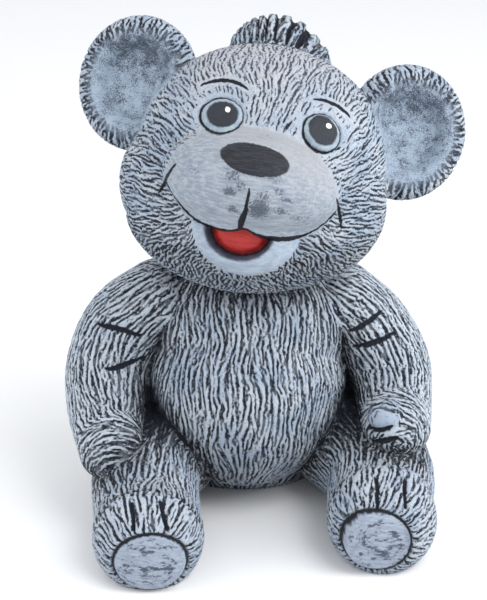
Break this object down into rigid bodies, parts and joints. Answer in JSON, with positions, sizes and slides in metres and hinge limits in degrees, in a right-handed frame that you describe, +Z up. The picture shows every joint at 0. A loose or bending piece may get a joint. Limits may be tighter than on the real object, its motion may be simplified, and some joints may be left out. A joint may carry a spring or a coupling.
{
  "type": "teddy bear garden statue",
  "caption": "Seated smiling teddy bear garden ornament, cast in one piece of concrete with carved fur and painted details, standing on its flat underside.",
  "frame": {"origin": "on the ground plane, under the middle of the bear's bounding box", "axes": "+Z up, -Y the way the bear faces, +X to the bear's own left"},
  "size_m": [0.318, 0.2654, 0.4006],
  "materials": {
    "painted_concrete": "matt pale blue-grey paint dry-brushed over a charcoal wash, on cast concrete"
  },
  "bodies": {
    "root": {"teddy_bear": "painted_concrete"}
  },
  "joints": []
}
